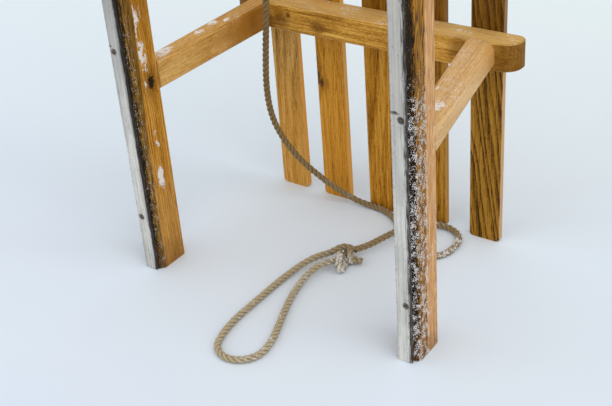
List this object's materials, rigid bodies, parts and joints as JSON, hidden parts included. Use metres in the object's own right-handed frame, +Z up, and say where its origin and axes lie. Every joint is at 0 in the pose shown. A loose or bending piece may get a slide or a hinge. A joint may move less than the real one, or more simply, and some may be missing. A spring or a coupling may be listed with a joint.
{
  "type": "slatted wooden sled",
  "caption": "Classic wooden sled with bent steel-shod runners, splayed legs under crossbeams, a slatted seat, a round pull bar and a twisted pull rope, stood on its tail.",
  "frame": {"origin": "on the floor under the middle of the sled, which stands on its tail, measured without the rope", "axes": "+Z up along the sled from its tail to its bent front, +Y from the runners' soles to the seat, X across the sled"},
  "size_m": [0.332, 0.307, 1.0018],
  "materials": {
    "runner_wood": "oiled, worn, with dark stains along the strip",
    "frame_wood": "varnished",
    "leg_wood": "varnished",
    "slat_wood": "varnished",
    "bar_wood": "varnished",
    "strip_steel": "matte, scratched",
    "rope": "twisted natural fibre"
  },
  "bodies": {
    "root": {"runner_left": "runner_wood", "runner_right": "runner_wood", "sole_strip_left": "strip_steel", "sole_strip_right": "strip_steel", "crossbeam_rear": "frame_wood", "crossbeam_front": "frame_wood", "pull_bar": "bar_wood", "rope_hitch": "rope", "rope_line": "rope", "rope_knot": "rope", "rope_loop": "rope", "slat_1": "slat_wood", "slat_2": "slat_wood", "slat_3": "slat_wood", "slat_4": "slat_wood", "slat_5": "slat_wood", "leg_rear_left": "leg_wood", "leg_rear_right": "leg_wood", "leg_front_left": "leg_wood", "leg_front_right": "leg_wood"}
  },
  "joints": []
}
